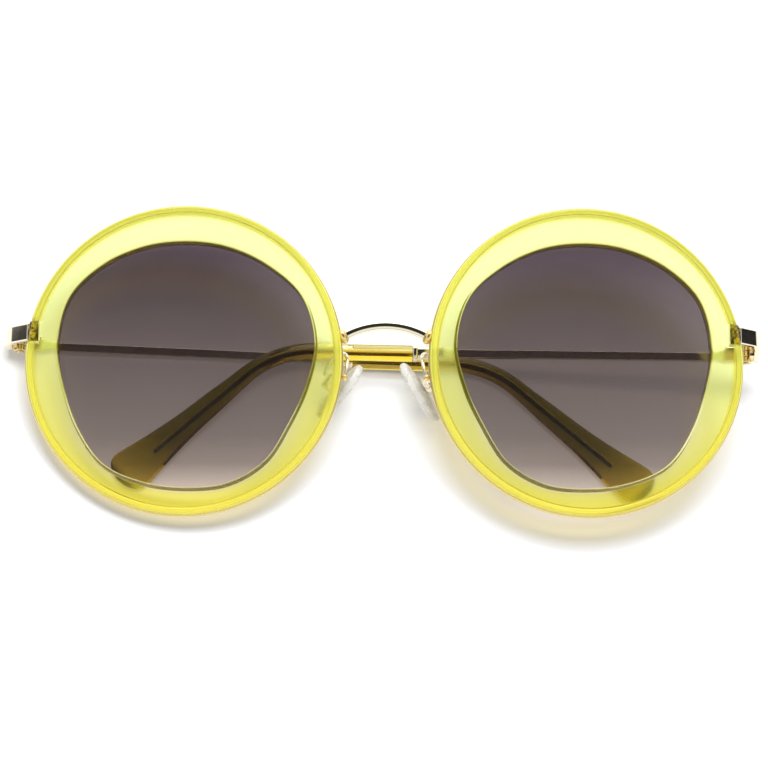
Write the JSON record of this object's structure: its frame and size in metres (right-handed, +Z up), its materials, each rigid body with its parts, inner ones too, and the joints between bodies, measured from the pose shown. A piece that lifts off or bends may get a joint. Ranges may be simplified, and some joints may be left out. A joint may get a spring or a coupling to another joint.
{
  "type": "round sunglasses",
  "caption": "Round sunglasses with wide clear yellow ring inserts in thin metal rims, tinted domed lenses, adjustable nose pads and folding temples with clear amber sleeves; folded, lenses up.",
  "frame": {"origin": "middle of the footprint, on the table that the folded sunglasses lie on, lenses up", "axes": "+X to the wearer's left along the front, +Y towards the top of the front, +Z up from the table"},
  "size_m": [0.1472, 0.0598, 0.028],
  "materials": {
    "clear_yellow_plastic": "clear, glossy, fluorescent yellow",
    "tinted_lens": "clear, glossy, grey-brown tint fading towards the bottom",
    "pale_gold_metal": "polished pale gold plating",
    "screw_steel": "polished",
    "clear_amber_plastic": "clear, glossy",
    "clear_silicone": "clear, smooth"
  },
  "bodies": {
    "front": {"bridge": "pale_gold_metal", "left_ring_insert": "clear_yellow_plastic", "left_lens": "tinted_lens", "left_rim": "pale_gold_metal", "left_rim_lock_upper": "pale_gold_metal", "left_rim_lock_lower": "pale_gold_metal", "left_rim_lock_screw": "screw_steel", "left_end_piece": "pale_gold_metal", "left_front_hinge": "pale_gold_metal", "left_hinge_screw": "screw_steel", "left_nose_pad": "clear_silicone", "left_pad_box": "pale_gold_metal", "left_pad_screw": "screw_steel", "left_pad_arm": "pale_gold_metal", "right_ring_insert": "clear_yellow_plastic", "right_lens": "tinted_lens", "right_rim": "pale_gold_metal", "right_rim_lock_upper": "pale_gold_metal", "right_rim_lock_lower": "pale_gold_metal", "right_rim_lock_screw": "screw_steel", "right_end_piece": "pale_gold_metal", "right_front_hinge": "pale_gold_metal", "right_hinge_screw": "screw_steel", "right_nose_pad": "clear_silicone", "right_pad_box": "pale_gold_metal", "right_pad_screw": "screw_steel", "right_pad_arm": "pale_gold_metal"},
    "left_temple": {"left_temple_hinge": "pale_gold_metal", "left_temple_arm": "pale_gold_metal", "left_temple_ferrule": "pale_gold_metal", "left_temple_sleeve": "clear_amber_plastic"},
    "right_temple": {"right_temple_hinge": "pale_gold_metal", "right_temple_arm": "pale_gold_metal", "right_temple_ferrule": "pale_gold_metal", "right_temple_sleeve": "clear_amber_plastic"}
  },
  "joints": [
    {"name": "left_temple_hinge", "type": "hinge", "parent": "front", "child": "left_temple", "pos_m": [0.0711, 0.00551, 0.014], "axis": [-0.0043, -0.9919, -0.127], "range_deg": [0, 89.08]},
    {"name": "right_temple_hinge", "type": "hinge", "parent": "front", "child": "right_temple", "pos_m": [-0.07085, 0.00716, 0.00328], "axis": [0.0031, 0.9919, 0.1269], "range_deg": [0, 85.37]}
  ]
}
